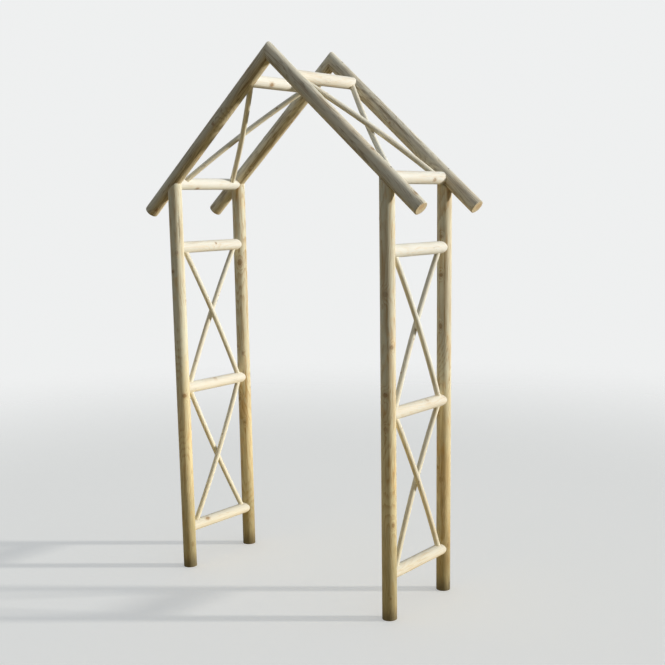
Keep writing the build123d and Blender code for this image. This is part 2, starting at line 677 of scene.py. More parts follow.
        # The skin lies inside the nominal round: gentle hollows, raised knots, and the check
        across = graph.join(cosine, sine, 0.0) * (radius * reach)
        place = across + graph.join(0.0, 0.0, distance)
        start_of_grain = graph.join(0.0, 0.0, seed)
        knot = self.from_knot(graph, place)
        hollows = place * Vector((1.0, 1.0, self.hollow_stretch)) + start_of_grain
        skin = graph.noise(hollows, self.hollow_scale)
        raised = graph.ramp(knot.parts()[2], *self.raised_reach, self.raised_height, 0.0)
        groove = self.groove(graph, turn, distance)
        relief = graph.maths("MINIMUM", raised - graph["Unevenness"] * skin, 0.0)
        relief = relief - worn - groove * graph["Check Depth"]
        spine = foot + direction * distance + self.bend(graph, distance / length)
        position = spine + outward * ((radius + relief - self.skin_inset) * reach)

        sawn = graph.maths("ADD", graph.out(blank, "Top"), graph.out(blank, "Bottom"))
        geometry = graph.out(blank, "Mesh")
        stores = {
            "grain": ("FLOAT_VECTOR", "POINT", place + start_of_grain),
            "knot": ("FLOAT_VECTOR", "POINT", knot),
            "check": ("FLOAT", "POINT", groove),
            "tone": ("FLOAT", "POINT", graph["Tone"]),
            "end": ("FLOAT", "FACE", sawn)}
        for name, (data_type, domain, value) in stores.items():
            geometry = graph.get("GeometryNodeStoreNamedAttribute", {
                "Geometry": geometry, "Name": name, "Value": value}, data_type=data_type, domain=domain)
        geometry = graph.get("GeometryNodeSetPosition", {"Geometry": geometry, "Position": position})
        geometry = graph.get("GeometryNodeSetShadeSmooth", {
            "Geometry": geometry, "Shade Smooth": graph.out(blank, "Side")})
        graph.give(Geometry=graph.made_of(geometry, graph["Timber"]))
        return graph

    def make(self, pole: Pole, timber: bpy.types.Material, unevenness: float,
             tone: float) -> bpy.types.Object:
        """Makes one pole's mesh.

        Args:
            pole: its sizes and cuts.
            timber: its material.
            unevenness: how deep the hollows in its skin are.
            tone: its own lightness, from -1 to 1.

        Returns:
            The piece.
        """
        places = []
        for knot in pole.knots:
            around = math.radians(knot.around)
            places.append((pole.radius * math.cos(around), pole.radius * math.sin(around), knot.along))
        sizes = [knot.size for knot in pole.knots]
        knots = add_points(f"{pole.node}_knots", places, {"size": ("FLOAT", sizes)})
        check = CHECKS.get(pole.node, Check())
        values = {
            "Foot": pole.foot, "Head": pole.head, "Sideways": pole.sideways, "Bow": pole.bow,
            "Radius": pole.radius, "Sides": pole.sides, "Ring Spacing": pole.ring_spacing,
            "Unevenness": unevenness, "Seed": pole.seed * self.seed_step, "Tone": tone,
            "Knots": knots, "Timber": timber, "Check Angle": math.radians(check.around),
            "Check Start": check.start, "Check Finish": check.finish, "Check Depth": check.depth,
            "Check Width": check.width}
        for end, cut in zip(self.ends, (pole.foot_cut, pole.head_cut)):
            values |= {f"{end} Cut Point": cut.point, f"{end} Cut Normal": cut.normal,
                       f"{end} Arris": cut.arris}
            spare = [Carrier()] * self.carriers_each_end
            for number, carrier in zip(range(self.carriers_each_end), (*cut.carriers, *spare)):
                values |= {
                    f"{end} Carrier {number} {size.capitalize()}": getattr(carrier, size)
                    for size in ("point", "axis", "radius")}
        return self.bake(f"{pole.node}_timber", values, knots)


@dataclass(frozen=True)
class Finish:
    """The colours and texture of one kind of pole."""

    slot: str
    pale: Colour
    dark: Colour
    grey: Colour
    weathering: float
    # The amount of painted shade and warm bounce light on the downward-facing skin, then of mud splash,
    # damp and a painted warm glow near the ground
    under: float
    soil: float
    unevenness: float
    streaking: float = 1.0
    warmth: float = 1.0
    ring_width: float = 0.0034


FINISHES = {
    "post": Finish("post_wood", pale=(0.96, 0.93, 0.74), dark=(0.58, 0.4, 0.18), grey=(0.4, 0.37, 0.28),
                   weathering=0.2, under=0.0, soil=0.7, unevenness=0.0009, streaking=1.25, warmth=1.0),
    "rafter": Finish("rafter_wood", pale=(0.91, 0.86, 0.71), dark=(0.4, 0.31, 0.19), grey=(0.47, 0.5, 0.47),
                     weathering=0.35, under=0.55, soil=0.0, unevenness=0.0009, streaking=1.6, warmth=0.5),
    "rail": Finish("rail_wood", pale=(0.98, 0.97, 0.9), dark=(0.88, 0.76, 0.58), grey=(0.6, 0.57, 0.48),
                   weathering=0.12, under=0.15, soil=0.2, unevenness=0.0008, streaking=1.1, warmth=0.2),
    "brace": Finish("brace_wood", pale=(0.98, 0.97, 0.87), dark=(0.92, 0.82, 0.61), grey=(0.6, 0.56, 0.46),
                    weathering=0.12, under=0.35, soil=0.2, unevenness=0.0004, warmth=0.25,
                    ring_width=0.0026),
}


class Layer(Enum):
    """The noises in the wood: how far each is drawn out, its scale, detail and roughness."""

    RIPPLE = (0.06, 55.0, 3.0, 0.55)
    FIBRE = (0.022, 900.0, 2.0, 0.6)
    STREAK = (0.03, 230.0, 3.0, 0.6)
    PATCH = (0.3, 17.0, 3.0, 0.55)
    BAND = (0.035, 80.0, 2.0, 0.6)
    WARMTH = (0.16, 9.0, 2.0, 0.5)
    FLUSH = (0.45, 19.0, 3.0, 0.6)
    HAIR = (0.012, 150.0, 1.0, 0.5)
    HAIR_PATCH = (0.35, 21.0, 1.0, 0.5)
    BLOTCH = (0.25, 38.0, 4.0, 0.65)
    SPECK = (0.5, 420.0, 2.0, 0.7)
    KNOT_STRETCH = (1.0, 6.0, 0.0, 0.5)
    KNOT_STRENGTH = (1.0, 7.0, 1.0, 0.5)
    KNOT_EDGE = (1.0, 180.0, 2.0, 0.5)
    KNOT_SPLIT = (1.0, 310.0, 1.0, 0.5)

    def at(self, graph: Graph, place: Field, shift: float = 0.0) -> Field:
        """The noise at a place in the pole, drawn out along the grain."""
        drawn, scale, detail, roughness = self.value
        spot = place * Vector((1.0, 1.0, drawn))
        return graph.noise(spot + Z_AXIS * shift if shift else spot, scale, detail, roughness)


class Tint:
    """The colours in the wood that every kind of pole shares."""

    WARM = (1.0, 0.86, 0.72)
    FLUSHED = (1.0, 0.79, 0.54)
    SAWN = (1.0, 0.95, 0.8)
    SAWN_RING = (0.78, 0.55, 0.34)
    SAWN_RIM = (0.55, 0.4, 0.24)
    CRACK = (0.16, 0.1, 0.055)
    RESIN = (0.6, 0.43, 0.25)
    HEART = (0.52, 0.35, 0.19)
    HEART_RING = (0.4, 0.25, 0.13)
    HEART_SPLIT = (0.1, 0.06, 0.03)
    KNOT_RIM = (0.24, 0.14, 0.07)
    HAIRLINE = (0.16, 0.09, 0.045)
    # Painted shade inside the open check
    CHECK = (0.13, 0.075, 0.045)
    # Painted shade and warm bounce light on downward-facing skin
    SHELTERED = (0.86, 0.72, 0.42)
    SPECK = (0.13, 0.1, 0.07)
    # Painted warm bounce light from the ground, low on the poles
    OCHRE = (1.0, 0.85, 0.54)
    SPLASHED = (0.2, 0.17, 0.08)
    DAMP = (0.07, 0.055, 0.03)


class Softwood:
    """The shader node groups that every timber material uses.

    A pair or a row of four numbers is a ramp: the low and the high value, and what it
    gives at each of them where that isn't 0 and 1. Late wood has two ramps, for its rise
    and its fall within a ring.
    """

    pith_scale = 1.7
    pith_wander = 0.075
    ring_ripple = 0.0085
    ring_swirl = 0.0075
    swirl_stretch = 0.22
    swirl_fading = 0.35
    near_knot = (2.2, 5.5, 1.0, 0.0)
    late_wood = ((0.35, 0.9), (0.93, 1.0, 1.0, 0.0))
    sawn_late_wood = ((0.2, 0.85), (0.9, 1.0, 1.0, 0.0))
    streaks = (0.38, 0.72, 0.0, 0.2)
    fibres = (0.4, 0.75, 0.0, 0.14)
    bands = (0.48, 0.7, 0.0, 0.3)
    late_shade = 0.3
    patch_shade = 0.8
    tone_shade = 0.14
    darkening = (0.02, 1.05)
    warm_patches = (0.48, 0.72, 0.0, 0.55)
    flushed_patches = (0.52, 0.72, 0.0, 0.6)
    flush_shift = 3.0
    sawn_late_shade = 0.5
    ray_scale = 16.0
    rays = (0.5, 0.7, 0.0, 0.2)
    heartwood = (0.012, 0.022, 0.45, 0.0)
    cracks = (0.0, 0.006, 0.6, 0.0)
    sawn_rim = (0.0305, 0.0325, 0.0, 0.4)
    rim_ripple = 0.003
    knot_stretches = (0.38, 0.62, 0.35, 1.0)
    knot_strengths = (0.35, 0.6, 0.35, 1.0)
    edge_ripple = 0.75
    halo = (0.8, 2.4, 0.55, 0.0)
    heart_ring_turns = 17.0
    heart_rings = (-0.6, 0.9)
    split_slant = 0.35
    split_ripple = 0.5
    split = (0.02, 0.07, 0.8, 0.0)
    split_reach = (0.55, 0.75, 1.0, 0.0)
    core = (0.7, 1.05, 1.0, 0.0)
    core_cover = 0.85
    rim_at = 0.92
    rim = (0.0, 0.16, 0.5, 0.0)
    hairlines = (0.0, 0.012, 1.0, 0.0)
    hair_patches = (0.56, 0.66)
    hair_cover = 0.55
    # Painted shade inside the open check comes in over this ramp
    check_edge = (0.02, 0.45)
    greyed_side = (-0.25, 0.75)
    grey_blotches = (0.3, 0.68)
    # Downward-facing skin gets painted shade and warm bounce light
    sheltered_side = (-0.75, -0.05, 1.0, 0.0)
    specks = (0.64, 0.74, 0.0, 0.3)
    least_specks = 0.35

    # How ragged each mark's edge is, the two heights that it fades between, its tint and its way. The first
    # is a warm tint low on the poles, painted warm bounce light from the ground; the others are real mud
    # splash and damp.
    ground_stains = (
        (0.5, 0.6, 1.3, Tint.OCHRE, "MULTIPLY"),
        (0.35, 0.0, 0.62, Tint.SPLASHED, "MIX"),
        (0.08, 0.0, 0.09, Tint.DAMP, "MIX"))

    fibre_height = 0.35
    streak_height = 0.3
    late_height = 0.25
    hair_height = 0.8
    core_height = 0.25
    plain_roughness = 0.62
    streak_roughness = 0.2
    late_roughness = 0.06
    core_roughness = 0.12
    bump_strength = 0.5
    bump_distance = 0.0007
    shine = 0.22

    def __init__(self) -> None:
        """Builds both groups once."""
        self.timber = self.build_timber()
        self.weather = self.build_weather()

    def build_timber(self) -> bpy.types.NodeTree:
        """Builds the group for growth rings, fibres, knots, checks and end grain.

        Returns:
            The group, with a colour, a height and a roughness.
        """
        graph = Graph.group("Softwood", "ShaderNodeTree", {
            "Vector": ["Place", "Knot"], "Color": ["Pale", "Dark"],
            "Float": ["Check", "End", "Tone", "Ring Width", "Streaking", "Warmth"]},
            {"Color": ["Color"], "Float": ["Height", "Roughness"]})
        place, end = graph["Place"], graph["End"]
        x, y, z = place.parts()
        knot_across, knot_along, knot_far = graph["Knot"].parts()
        near_knot = graph.ramp(knot_far, *self.near_knot)

        # The pith wanders off the pole's centre, so the rings run out at the skin in long tongues
        wander = graph.get("ShaderNodeTexNoise", {
            "Vector": graph.join(0.0, 0.0, z), "Scale": self.pith_scale, "Detail": 1.0}, "Color")
        pith_x, pith_y, _ = ((wander - Vector((0.5, 0.5, 0.5))) * self.pith_wander).parts()
        from_x, from_y = x - pith_x, y - pith_y
        from_pith = graph.maths("SQRT", from_x * from_x + from_y * from_y)
        ripple = Layer.RIPPLE.at(graph, place)
        swirl = knot_across * knot_across + knot_along * knot_along * self.swirl_stretch
        swirl = graph.maths("EXPONENT", swirl * -self.swirl_fading)
        ring_place = from_pith + ripple * self.ring_ripple + swirl * near_knot * self.ring_swirl
        season = graph.maths("FRACT", ring_place / graph["Ring Width"])
        late, sawn_late = (
            graph.ramp(season, *rise) * graph.ramp(season, *fall)
            for rise, fall in (self.late_wood, self.sawn_late_wood))

        fibre, streak = Layer.FIBRE.at(graph, place), Layer.STREAK.at(graph, place)
        lines = graph.ramp(streak, *self.streaks) + graph.ramp(fibre, *self.fibres)
        lines = lines + graph.ramp(Layer.BAND.at(graph, place), *self.bands)
        patches = (Layer.PATCH.at(graph, place) - 0.5) * self.patch_shade
        shade = late * self.late_shade + lines * graph["Streaking"] + patches
        shade = shade - graph["Tone"] * self.tone_shade
        colour = graph.blend(graph.ramp(shade, *self.darkening), graph["Pale"], graph["Dark"])
        warm = graph.ramp(Layer.WARMTH.at(graph, place), *self.warm_patches) * graph["Warmth"]
        colour = graph.blend(warm, colour, Tint.WARM, "MULTIPLY")
        flush = Layer.FLUSH.at(graph, place, self.flush_shift)
        flush = graph.ramp(flush, *self.flushed_patches) * graph["Warmth"]
        colour = graph.blend(flush, colour, Tint.FLUSHED, "MULTIPLY")

        # End grain shows the rings whole, with rays and a few cracks out from the pith
        bearing = graph.maths("ARCTAN2", from_y, from_x)
        rays = graph.join(graph.maths("COSINE", bearing), graph.maths("SINE", bearing), z)
        rays = graph.noise(rays, self.ray_scale, 3.0)
        rings = sawn_late * self.sawn_late_shade + graph.ramp(rays, *self.rays)
        rings = rings + graph.ramp(from_pith, *self.heartwood)
        sawn = graph.blend(rings, Tint.SAWN, Tint.SAWN_RING)
        sawn = graph.blend(graph.ramp(abs(rays - 0.5), *self.cracks), sawn, Tint.CRACK)
        reach = graph.maths("SQRT", x * x + y * y) + (ripple - 0.5) * self.rim_ripple
        sawn = graph.blend(graph.ramp(reach, *self.sawn_rim), sawn, Tint.SAWN_RIM)
        colour = graph.blend(end, colour, sawn)

        # Knots: a dark rim, an orange brown heart with its own rings, and a resin halo
        stretch = graph.ramp(Layer.KNOT_STRETCH.at(graph, place), *self.knot_stretches)
        knot_reach = graph.maths("SQRT", knot_across * knot_across + knot_along * knot_along * stretch)
        knot_reach = knot_reach + (Layer.KNOT_EDGE.at(graph, place) - 0.5) * self.edge_ripple
        strength = graph.ramp(Layer.KNOT_STRENGTH.at(graph, place), *self.knot_strengths)
        strength = strength * near_knot * (1.0 - end)
        colour = graph.blend(graph.ramp(knot_reach, *self.halo) * strength, colour, Tint.RESIN)
        heart_rings = graph.maths("SINE", knot_reach * self.heart_ring_turns)
        heart = graph.blend(graph.ramp(heart_rings, *self.heart_rings), Tint.HEART, Tint.HEART_RING)
        split = knot_across + knot_along * self.split_slant
        split = abs(split + (Layer.KNOT_SPLIT.at(graph, place) - 0.5) * self.split_ripple)
        split = graph.ramp(split, *self.split) * graph.ramp(knot_reach, *self.split_reach)
        heart = graph.blend(split, heart, Tint.HEART_SPLIT)
        core = graph.ramp(knot_reach, *self.core) * strength
        colour = graph.blend(core * self.core_cover, colour, heart)
        rim = graph.ramp(abs(knot_reach - self.rim_at), *self.rim) * strength
        colour = graph.blend(rim, colour, Tint.KNOT_RIM)

        # Hairline checks follow the fibres, and the open check is painted dark inside: painted shade in the
        # crack
        hair = graph.ramp(abs(Layer.HAIR.at(graph, place) - 0.5), *self.hairlines)
        hair = hair * graph.ramp(Layer.HAIR_PATCH.at(graph, place), *self.hair_patches) * (1.0 - end)
        colour = graph.blend(hair * self.hair_cover, colour, Tint.HAIRLINE)
        colour = graph.blend(graph.ramp(graph["Check"], *self.check_edge), colour, Tint.CHECK)

        height = fibre * self.fibre_height + streak * self.streak_height + core * self.core_height
        height = height - late * self.late_height - hair * self.hair_height
        roughness = self.plain_roughness + streak * self.streak_roughness
        roughness = roughness - late * self.late_roughness - core * self.core_roughness
        return graph.give(Color=colour, Height=height, Roughness=roughness)

    def build_weather(self) -> bpy.types.NodeTree:
        """Builds the group for greying on top, painted shade and warm bounce light on the downward-facing
        skin, mud splash and damp near the ground with a painted warm glow above them, and grime in the
        skin.

        Returns:
            The group, with a colour.
        """
        graph = Graph.group("Weathering", "ShaderNodeTree", {
            "Color": ["Color", "Grey"], "Vector": ["Place", "Spot"],
            "Float": ["Up", "Greying", "Under", "Soil"]}, {"Color": ["Color"]})
        place, up, soil = graph["Place"], graph["Up"], graph["Soil"]
        blotch = Layer.BLOTCH.at(graph, place)
        top = graph.ramp(up, *self.greyed_side)
        grey = top * graph.ramp(blotch, *self.grey_blotches) * graph["Greying"]
        colour = graph.blend(grey, graph["Color"], graph["Grey"])
        # Downward-facing skin is tinted a darker ochre: painted shade and warm bounce light from beneath
        painted_underside_share = graph.ramp(up, *self.sheltered_side) * graph["Under"]
        colour = graph.blend(painted_underside_share, colour, Tint.SHELTERED, "MULTIPLY")
        speck = graph.ramp(Layer.SPECK.at(graph, place), *self.specks)
        speck = speck * (self.least_specks + top * (1.0 - self.least_specks))
        colour = graph.blend(speck, colour, Tint.SPECK)

        height = graph["Spot"].parts()[2]
        # The warm tint low on the pole is painted warm bounce light from the ground; mud splash and damp
        # are real marks
        for ragged, full, clear, tint, way in self.ground_stains:
            stain = graph.ramp(height + (blotch - 0.5) * ragged, full, clear, 1.0, 0.0) * soil
            colour = graph.blend(stain, colour, tint, way)
        return graph.give(Color=colour)

    def material(self, finish: Finish) -> bpy.types.Material:
        """Makes one kind of pole's material.

        Args:
            finish: its colours and amounts.

        Returns:
            The material.
        """
        graph = Shading(finish.slot)
        place, knot = (graph.get("ShaderNodeAttribute", {}, "Vector", attribute_name=name)
                       for name in ("grain", "knot"))
        check, end, tone = (graph.get("ShaderNodeAttribute", {}, "Fac", attribute_name=name)
                            for name in ("check", "end", "tone"))
        timber = graph.add("ShaderNodeGroup", {
            "Place": place, "Knot": knot, "Check": check, "End": end, "Tone": tone,
            "Pale": finish.pale, "Dark": finish.dark, "Ring Width": finish.ring_width,
            "Streaking": finish.streaking, "Warmth": finish.warmth}, node_tree=self.timber)
        # Greying, grime and mud, with painted shade on the downward-facing skin and a painted warm glow
        # near the ground
        weather = graph.add("ShaderNodeGroup", {
            "Color": graph.out(timber, "Color"), "Place": place,
            "Spot": graph.get("ShaderNodeTexCoord", {}, "Object"),
            "Up": graph.get("ShaderNodeNewGeometry", {}, "Normal").parts()[2],
            "Grey": finish.grey, "Greying": finish.weathering, "Under": finish.under,
            "Soil": finish.soil}, node_tree=self.weather)
        bump = graph.get("ShaderNodeBump", {
            "Height": graph.out(timber, "Height"), "Strength": self.bump_strength,
            "Distance": self.bump_distance}, "Normal")
        return graph.shade({
            "Base Color": graph.out(weather, "Color"), "Roughness": graph.out(timber, "Roughness"),
            "Normal": bump, "Specular IOR Level": self.shine})


class Timberwork:
    """Grows knots and a tone for each pole, makes its piece and fits it in the frame."""

    body = "root"
    first_whorl = (0.05, 0.22)
    whorl_spacing = (0.16, 0.42)
    whorl_spread = 0.03
    whorl_counts = (1, 1, 2, 3)
    largest_knot = 0.27
    smallest_share = 0.42
    clearance = 4.5
    tone_seed = 1000

    def __init__(self) -> None:
        """Builds the shared trees and the four materials."""
        self.tree = PoleTree()
        softwood = Softwood()
        self.materials = {kind: softwood.material(finish) for kind, finish in FINISHES.items()}

    def grow_knots(self, pole: Pole) -> tuple[Knot, ...]:
        """Scatters whorls of knots over a pole, clear of those that have a place of their own.

        Args:
            pole: the pole.

        Returns:
            All its knots.
        """
        draw = random.Random(pole.seed)
        knots = list(KNOTS.get(pole.node, ()))
        along = draw.uniform(*self.first_whorl)
        while along < pole.length:
            for _ in range(draw.choice(self.whorl_counts)):
                size = pole.radius * self.largest_knot * draw.uniform(self.smallest_share, 1.0)
                place = along + draw.uniform(-self.whorl_spread, self.whorl_spread)
                knot = Knot(place, draw.uniform(-180.0, 180.0), size)
                if all(self.apart(pole, knot, other) for other in knots):
                    knots.append(knot)
            along += draw.uniform(*self.whorl_spacing)
        return tuple(knots)

    def apart(self, pole: Pole, one: Knot, other: Knot) -> bool:
        """Whether two knots lie clear of each other's grain."""
        turn = (one.around - other.around + 180.0) % 360.0 - 180.0
        gap = math.hypot(math.radians(turn) * pole.radius, one.along - other.along)
        return gap > self.clearance * (one.size + other.size)

    def dress(self, kind: str, pole: Pole) -> None:
        """Makes one pole's piece and puts it in its node's place.

        Args:
            kind: which finish it has.
            pole: its sizes and cuts.
        """
        pole.knots = self.grow_knots(pole)
        tone = random.Random(pole.seed + self.tone_seed).uniform(-1.0, 1.0)
        finish = FINISHES[kind]
        piece = self.tree.make(pole, self.materials[kind], finish.unevenness, tone)
        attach(piece, self.body)
        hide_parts(pole.node)
        log.info("%s: %d knots, %d faces", piece.name, len(pole.knots), len(piece.data.polygons))


@dataclass
class Frame:
    """One pitched frame of two posts and two rafters, at the front or the rear."""

    sizes: ArchSizes
    end: End
    worn_arris: float = 0.003
    mitre_arris: float = 0.0022
    seat_arris: float = 0.0004

    def post(self, side: Side, seed: int) -> Pole:
        """Sets out a post, with its top cut to the slope."""
        sizes = self.sizes
        normal = sizes.off_slope(side)
        foot, eaves = (sizes.on_post(side, self.end, height) for height in (0.0, sizes.eaves_height))
        seat = eaves - normal * (sizes.rafter_radius - sizes.seat_depth)
        return Pole(f"post_{self.end.word}_{side.word}", foot, eaves, sizes.post_radius,
                    Cut(foot, Z_AXIS), Cut(seat, normal, arris=self.seat_arris), seed)

    def rafter(self, side: Side, seed: int) -> Pole:
        """Sets out a rafter, from the mitre at the apex down to its square end."""
        sizes = self.sizes
        apex, down = sizes.apex(self.end), sizes.down_slope(side)
        head = apex + down * sizes.rafter_length
        return Pole(f"rafter_{self.end.word}_{side.word}", apex, head, sizes.rafter_radius,
                    Cut(apex, X_AXIS, arris=self.mitre_arris), Cut(head, down, arris=self.worn_arris), seed)

    def build(self, timberwork: Timberwork, seeds: Iterator[int]) -> None:
        """Makes the frame's four poles."""
        for side in Side:
            timberwork.dress("post", self.post(side, next(seeds)))
            timberwork.dress("rafter", self.rafter(side, next(seeds)))


@dataclass
class SideWork:
    """The rails and crossed braces between the front and rear frames on one side."""

    sizes: ArchSizes
    side: Side
    right_hand: dict[str, End]
    bite: float = 0.0012
    rail_arris: float = 0.0006
    brace_arris: float = 0.0005
    rail_sides: int = 64
    brace_sides: int = 40
    brace_ring_spacing: float = 0.007

    def post_carrier(self, end: End) -> Carrier:
        """The post at one end of this side."""
        return Carrier(self.sizes.on_post(self.side, end, 0.0), Z_AXIS, self.sizes.post_radius - self.bite)

    def rafter_carrier(self, end: End) -> Carrier:
        """The rafter at one end of this side."""
        down = self.sizes.down_slope(self.side)
        return Carrier(self.sizes.apex(end), down, self.sizes.rafter_radius - self.bite)

    def rail(self, name: str, seed: int) -> Pole:
        """Sets out a rail, coped to what it meets at each end."""
        cuts = []
        for end in End:
            carriers = [] if name == "ridge" else [self.post_carrier(end)]
            if name in ("ridge", "eaves"):
                carriers.append(self.rafter_carrier(end))
            point = self.sizes.on_rail(name, self.side, end)
            cuts.append(Cut(point, Y_AXIS, tuple(carriers), self.rail_arris))
        front, rear = cuts
        return Pole(f"rail_{name}_{self.side.word}", front.point, rear.point, self.sizes.rail_radius,
                    front, rear, seed, sides=self.rail_sides)

    def brace(self, bay: str, rises_to: End, seed: int) -> Pole:
        """Sets out a brace across a bay, coped to the two rails and, at the ridge, to its rafter.

        Args:
            bay: the bay's name.
            rises_to: the end that its head lies at.
            seed: its own seed.

        Returns:
            The brace.
        """
        sizes = self.sizes
        low_name, high_name, foot_corner, head_corner = {
            "lower": ("bottom", "middle", sizes.side_brace_corner, sizes.side_brace_corner),
            "upper": ("middle", "upper", sizes.side_brace_corner, sizes.side_brace_corner),
            "roof": ("eaves", "ridge", sizes.roof_brace_foot, sizes.roof_brace_head)}[bay]
        low, high = (sizes.on_rail(name, self.side, End.FRONT) for name in (low_name, high_name))
        up = Vector((high.x - low.x, 0.0, high.z - low.z))
        height = up.length
        up.normalize()
        half_depth, rail_radius, rise = sizes.frame_depth / 2, sizes.rail_radius, rises_to.value
        foot = Vector((low.x, rise * (foot_corner - half_depth), low.z)) + up * rail_radius
        head = Vector((high.x, rise * (half_depth - head_corner), high.z)) - up * rail_radius
        run_on = (head - foot) * (rail_radius / (height - 2 * rail_radius))
        lift = sizes.brace_radius + sizes.brace_passing_gap / 2
        bow = Y_AXIS.cross(up) * (lift if self.right_hand[bay] == rises_to else -lift)
        foot, head = foot - run_on, head + run_on
        along = (head - foot).normalized()
        foot_carriers, head_carriers = (
            [Carrier(rail, Y_AXIS, rail_radius - self.bite)] for rail in (low, high))
        if bay == "roof":
            head_carriers.append(self.rafter_carrier(rises_to))
        return Pole(f"brace_{bay}_{self.side.word}_rising_{rises_to.word}", foot, head, sizes.brace_radius,
                    Cut(foot, along, tuple(foot_carriers), self.brace_arris),
                    Cut(head, along, tuple(head_carriers), self.brace_arris),
                    seed, bow=bow, sides=self.brace_sides, ring_spacing=self.brace_ring_spacing)

    def build(self, timberwork: Timberwork, seeds: Iterator[int]) -> None:
        """Makes the side's five rails and six braces."""
        for name in (*self.sizes.rail_heights, "ridge"):
            timberwork.dress("rail", self.rail(name, next(seeds)))
        for bay in self.right_hand:
            for rises_to in End:
                timberwork.dress("brace", self.brace(bay, rises_to, next(seeds)))


@dataclass(frozen=True)
class Screw:
    """A countersunk screw's head: the middle of its face, the way it looks and its turn."""

    place: Vector
    outward: Vector
    turn: float


class ScrewTree(PieceTree):
    """The geometry nodes that put a cross-slotted head on every point they are given."""

    sizes = {"Head Radius": 0.004, "Head Depth": 0.0022, "Slot Length": 0.0046, "Slot Width": 0.0009,
             "Slot Depth": 0.0012}
    sides = 40
    stain_scale = 420.0
    stains = (0.4, 0.7)
    stained_roughness = (0.3, 0.7, 0.4, 0.65)
    clean_steel = (0.3, 0.28, 0.24)
    stained_steel = (0.17, 0.12, 0.08)

    def __init__(self) -> None:
        """Builds the tree and its material."""
        super().__init__(self.build())
        self.steel = self.build_steel()

    def build(self) -> Graph:
        """Builds the tree, which cuts one head's cross slot and repeats the head."""
        graph = Graph.group("Screw heads", "GeometryNodeTree", {
            "Object": ["Places"], "Float": list(self.sizes), "Material": ["Steel"]},
            {"Geometry": ["Geometry"]})
        depth, slot_depth = graph["Head Depth"], graph["Slot Depth"] * 2.0
        length, width = graph["Slot Length"], graph["Slot Width"]
        disc = graph.get("GeometryNodeMeshCylinder", {
            "Vertices": self.sides, "Radius": graph["Head Radius"], "Depth": depth}, "Mesh")
        disc = graph.get("GeometryNodeTransform", {
            "Geometry": disc, "Translation": graph.join(0.0, 0.0, depth * -0.5)})
        head = graph.add("GeometryNodeMeshBoolean", {0: disc}, operation="DIFFERENCE", solver="EXACT")
        for size in (graph.join(length, width, slot_depth), graph.join(width, length, slot_depth)):
            graph.feed(head.inputs[1], graph.get("GeometryNodeMeshCube", {"Size": size}, "Mesh"))
        facing = graph.get("FunctionNodeAlignRotationToVector", {
            "Vector": graph.attribute("outward", "FLOAT_VECTOR")}, axis="Z")
        facing = graph.get("FunctionNodeRotateRotation", {
            "Rotation": facing, "Rotate By": graph.join(0.0, 0.0, graph.attribute("turn", "FLOAT"))},
            rotation_space="LOCAL")
        heads = graph.get("GeometryNodeInstanceOnPoints", {
            "Points": graph.get("GeometryNodeObjectInfo", {"Object": graph["Places"]}, "Geometry"),
            "Instance": graph.out(head, "Mesh"), "Rotation": facing})
        graph.give(Geometry=graph.made_of(heads, graph["Steel"]))
        return graph

    def build_steel(self) -> bpy.types.Material:
        """Makes dull plated steel, a little stained."""
        graph = Shading("screw_steel")
        stain = graph.noise(graph.get("ShaderNodeTexCoord", {}, "Object"), self.stain_scale, 3.0, 0.6)
        colour = graph.blend(graph.ramp(stain, *self.stains), self.clean_steel, self.stained_steel)
        roughness = graph.ramp(stain, *self.stained_roughness)
        return graph.shade({"Base Color": colour, "Metallic": 1.0, "Roughness": roughness})

    def make(self, name: str, screws: list[Screw]) -> bpy.types.Object:
        """Makes all the heads as one piece.

        Args:
            name: the piece's name.
            screws: where each one is.

        Returns:
            The piece.
        """
        places = add_points(f"{name}_places", [screw.place for screw in screws], {
            "outward": ("FLOAT_VECTOR", [part for screw in screws for part in screw.outward]),
            "turn": ("FLOAT", [screw.turn for screw in screws])})
        return self.bake(name, {"Places": places, "Steel": self.steel, **self.sizes}, places)


@dataclass
class Fixings:
    """The screws that hold the rails near their ends and the rafters from above."""

    sizes: ArchSizes
    from_joint: float = 0.03
    from_apex: float = 0.05
    face_inset: float = 0.0003
    seed: int = 5

    def screws(self) -> list[Screw]:
        """Sets out every screw.

        Returns:
            Two in each rail, one over each post, and one beside each of two mitres.
        """
        draw = random.Random(self.seed)
        sizes = self.sizes
        found = []
        for side in Side:
            for name in (*sizes.rail_heights, "ridge"):
                outward = -(X_AXIS + Z_AXIS).normalized()
                if name == "ridge":
                    outward = sizes.off_slope(side) * -side.value
                for end in End:
                    inward = Y_AXIS * -end.value * (sizes.post_radius + self.from_joint)
                    middle = sizes.on_rail(name, side, end) + inward
                    found.append(self.screw(middle, outward, sizes.rail_radius, draw))
            for end in End:
                eaves = sizes.on_post(side, end, sizes.eaves_height)
                found.append(self.screw(eaves, sizes.off_slope(side), sizes.rafter_radius, draw))
        for side, end in ((Side.LEFT, End.FRONT), (Side.RIGHT, End.REAR)):
            middle = sizes.apex(end) + sizes.down_slope(side) * self.from_apex
            found.append(self.screw(middle, sizes.off_slope(side), sizes.rafter_radius, draw))
        return found

    def screw(self, middle: Vector, outward: Vector, radius: float, draw: random.Random) -> Screw:
        """A screw in a pole's skin, out from a point on its centre line."""
        return Screw(middle + outward * (radius - self.face_inset), outward, draw.uniform(0.0, math.pi))

    def build(self) -> None:
        """Makes the piece and fits it in the frame."""
        piece = ScrewTree().make("screws", self.screws())
        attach(piece, Timberwork.body)
        log.info("%s: %d faces", piece.name, len(piece.data.polygons))


